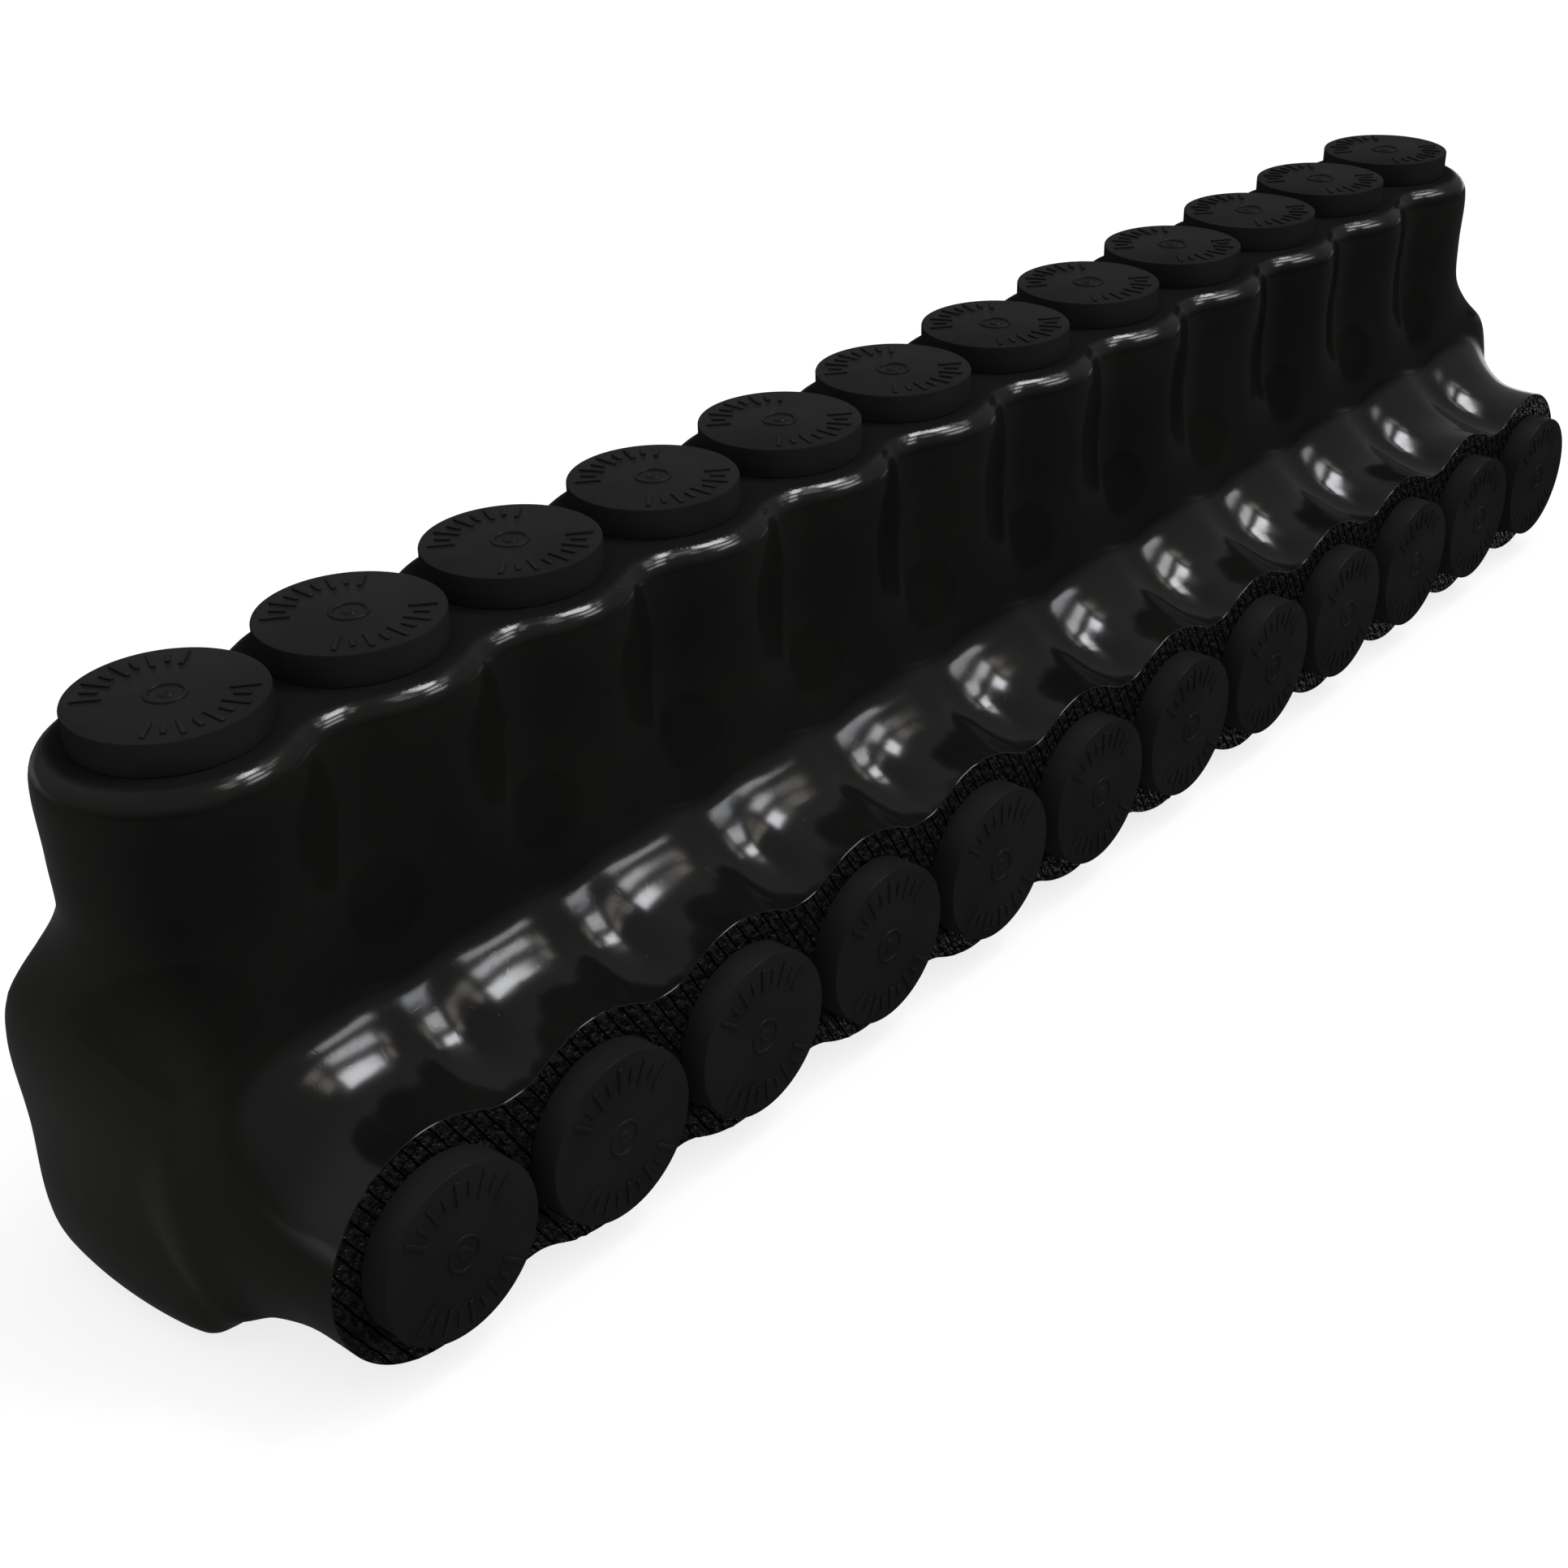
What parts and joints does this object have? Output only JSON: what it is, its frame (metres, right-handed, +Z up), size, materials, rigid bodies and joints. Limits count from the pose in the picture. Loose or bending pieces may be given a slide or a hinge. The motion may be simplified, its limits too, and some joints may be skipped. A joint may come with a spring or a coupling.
{
  "type": "insulated multi-tap connector",
  "caption": "Insulated multi-tap wire connector: a drilled bar in a moulded black coat, with capped wire ports in a row on one side and capped screw chimneys above them.",
  "frame": {"origin": "on the base, at mid length, under the line of the screw axes", "axes": "+X along the row of taps, -Y out of the wire ports, +Z up along the screw axes"},
  "size_m": [0.1812, 0.0321, 0.0413],
  "materials": {
    "coat": "glossy flexible moulded coat",
    "cap": "satin moulded cap",
    "bar": "drawn bar, drilled and tapped",
    "screw": "plated set screw"
  },
  "bodies": {
    "connector": {"insulating_housing": "coat", "connector_bar": "bar"},
    "set_screw_01": {"set_screw_01": "screw"},
    "screw_cap_01": {"screw_cap_01": "cap"},
    "port_cap_01": {"port_cap_01": "cap"},
    "set_screw_02": {"set_screw_02": "screw"},
    "screw_cap_02": {"screw_cap_02": "cap"},
    "port_cap_02": {"port_cap_02": "cap"},
    "set_screw_03": {"set_screw_03": "screw"},
    "screw_cap_03": {"screw_cap_03": "cap"},
    "port_cap_03": {"port_cap_03": "cap"},
    "set_screw_04": {"set_screw_04": "screw"},
    "screw_cap_04": {"screw_cap_04": "cap"},
    "port_cap_04": {"port_cap_04": "cap"},
    "set_screw_05": {"set_screw_05": "screw"},
    "screw_cap_05": {"screw_cap_05": "cap"},
    "port_cap_05": {"port_cap_05": "cap"},
    "set_screw_06": {"set_screw_06": "screw"},
    "screw_cap_06": {"screw_cap_06": "cap"},
    "port_cap_06": {"port_cap_06": "cap"},
    "set_screw_07": {"set_screw_07": "screw"},
    "screw_cap_07": {"screw_cap_07": "cap"},
    "port_cap_07": {"port_cap_07": "cap"},
    "set_screw_08": {"set_screw_08": "screw"},
    "screw_cap_08": {"screw_cap_08": "cap"},
    "port_cap_08": {"port_cap_08": "cap"},
    "set_screw_09": {"set_screw_09": "screw"},
    "screw_cap_09": {"screw_cap_09": "cap"},
    "port_cap_09": {"port_cap_09": "cap"},
    "set_screw_10": {"set_screw_10": "screw"},
    "screw_cap_10": {"screw_cap_10": "cap"},
    "port_cap_10": {"port_cap_10": "cap"},
    "set_screw_11": {"set_screw_11": "screw"},
    "screw_cap_11": {"screw_cap_11": "cap"},
    "port_cap_11": {"port_cap_11": "cap"},
    "set_screw_12": {"set_screw_12": "screw"},
    "screw_cap_12": {"screw_cap_12": "cap"},
    "port_cap_12": {"port_cap_12": "cap"}
  },
  "joints": [
    {"name": "screw_cap_01_lift", "type": "slide", "parent": "connector", "child": "screw_cap_01", "axis": [0, 0, 1], "range_m": [0, 0.03]},
    {"name": "port_cap_01_pull", "type": "slide", "parent": "connector", "child": "port_cap_01", "axis": [0, -1, 0], "range_m": [0, 0.04]},
    {"name": "set_screw_01_drive", "type": "slide", "parent": "connector", "child": "set_screw_01", "axis": [0, 0, -1], "range_m": [-0.004, 0.0063]},
    {"name": "screw_cap_02_lift", "type": "slide", "parent": "connector", "child": "screw_cap_02", "axis": [0, 0, 1], "range_m": [0, 0.03]},
    {"name": "port_cap_02_pull", "type": "slide", "parent": "connector", "child": "port_cap_02", "axis": [0, -1, 0], "range_m": [0, 0.04]},
    {"name": "set_screw_02_drive", "type": "slide", "parent": "connector", "child": "set_screw_02", "axis": [0, 0, -1], "range_m": [-0.004, 0.0063]},
    {"name": "screw_cap_03_lift", "type": "slide", "parent": "connector", "child": "screw_cap_03", "axis": [0, 0, 1], "range_m": [0, 0.03]},
    {"name": "port_cap_03_pull", "type": "slide", "parent": "connector", "child": "port_cap_03", "axis": [0, -1, 0], "range_m": [0, 0.04]},
    {"name": "set_screw_03_drive", "type": "slide", "parent": "connector", "child": "set_screw_03", "axis": [0, 0, -1], "range_m": [-0.004, 0.0063]},
    {"name": "screw_cap_04_lift", "type": "slide", "parent": "connector", "child": "screw_cap_04", "axis": [0, 0, 1], "range_m": [0, 0.03]},
    {"name": "port_cap_04_pull", "type": "slide", "parent": "connector", "child": "port_cap_04", "axis": [0, -1, 0], "range_m": [0, 0.04]},
    {"name": "set_screw_04_drive", "type": "slide", "parent": "connector", "child": "set_screw_04", "axis": [0, 0, -1], "range_m": [-0.004, 0.0063]},
    {"name": "screw_cap_05_lift", "type": "slide", "parent": "connector", "child": "screw_cap_05", "axis": [0, 0, 1], "range_m": [0, 0.03]},
    {"name": "port_cap_05_pull", "type": "slide", "parent": "connector", "child": "port_cap_05", "axis": [0, -1, 0], "range_m": [0, 0.04]},
    {"name": "set_screw_05_drive", "type": "slide", "parent": "connector", "child": "set_screw_05", "axis": [0, 0, -1], "range_m": [-0.004, 0.0063]},
    {"name": "screw_cap_06_lift", "type": "slide", "parent": "connector", "child": "screw_cap_06", "axis": [0, 0, 1], "range_m": [0, 0.03]},
    {"name": "port_cap_06_pull", "type": "slide", "parent": "connector", "child": "port_cap_06", "axis": [0, -1, 0], "range_m": [0, 0.04]},
    {"name": "set_screw_06_drive", "type": "slide", "parent": "connector", "child": "set_screw_06", "axis": [0, 0, -1], "range_m": [-0.004, 0.0063]},
    {"name": "screw_cap_07_lift", "type": "slide", "parent": "connector", "child": "screw_cap_07", "axis": [0, 0, 1], "range_m": [0, 0.03]},
    {"name": "port_cap_07_pull", "type": "slide", "parent": "connector", "child": "port_cap_07", "axis": [0, -1, 0], "range_m": [0, 0.04]},
    {"name": "set_screw_07_drive", "type": "slide", "parent": "connector", "child": "set_screw_07", "axis": [0, 0, -1], "range_m": [-0.004, 0.0063]},
    {"name": "screw_cap_08_lift", "type": "slide", "parent": "connector", "child": "screw_cap_08", "axis": [0, 0, 1], "range_m": [0, 0.03]},
    {"name": "port_cap_08_pull", "type": "slide", "parent": "connector", "child": "port_cap_08", "axis": [0, -1, 0], "range_m": [0, 0.04]},
    {"name": "set_screw_08_drive", "type": "slide", "parent": "connector", "child": "set_screw_08", "axis": [0, 0, -1], "range_m": [-0.004, 0.0063]},
    {"name": "screw_cap_09_lift", "type": "slide", "parent": "connector", "child": "screw_cap_09", "axis": [0, 0, 1], "range_m": [0, 0.03]},
    {"name": "port_cap_09_pull", "type": "slide", "parent": "connector", "child": "port_cap_09", "axis": [0, -1, 0], "range_m": [0, 0.04]},
    {"name": "set_screw_09_drive", "type": "slide", "parent": "connector", "child": "set_screw_09", "axis": [0, 0, -1], "range_m": [-0.004, 0.0063]},
    {"name": "screw_cap_10_lift", "type": "slide", "parent": "connector", "child": "screw_cap_10", "axis": [0, 0, 1], "range_m": [0, 0.03]},
    {"name": "port_cap_10_pull", "type": "slide", "parent": "connector", "child": "port_cap_10", "axis": [0, -1, 0], "range_m": [0, 0.04]},
    {"name": "set_screw_10_drive", "type": "slide", "parent": "connector", "child": "set_screw_10", "axis": [0, 0, -1], "range_m": [-0.004, 0.0063]},
    {"name": "screw_cap_11_lift", "type": "slide", "parent": "connector", "child": "screw_cap_11", "axis": [0, 0, 1], "range_m": [0, 0.03]},
    {"name": "port_cap_11_pull", "type": "slide", "parent": "connector", "child": "port_cap_11", "axis": [0, -1, 0], "range_m": [0, 0.04]},
    {"name": "set_screw_11_drive", "type": "slide", "parent": "connector", "child": "set_screw_11", "axis": [0, 0, -1], "range_m": [-0.004, 0.0063]},
    {"name": "screw_cap_12_lift", "type": "slide", "parent": "connector", "child": "screw_cap_12", "axis": [0, 0, 1], "range_m": [0, 0.03]},
    {"name": "port_cap_12_pull", "type": "slide", "parent": "connector", "child": "port_cap_12", "axis": [0, -1, 0], "range_m": [0, 0.04]},
    {"name": "set_screw_12_drive", "type": "slide", "parent": "connector", "child": "set_screw_12", "axis": [0, 0, -1], "range_m": [-0.004, 0.0063]}
  ]
}
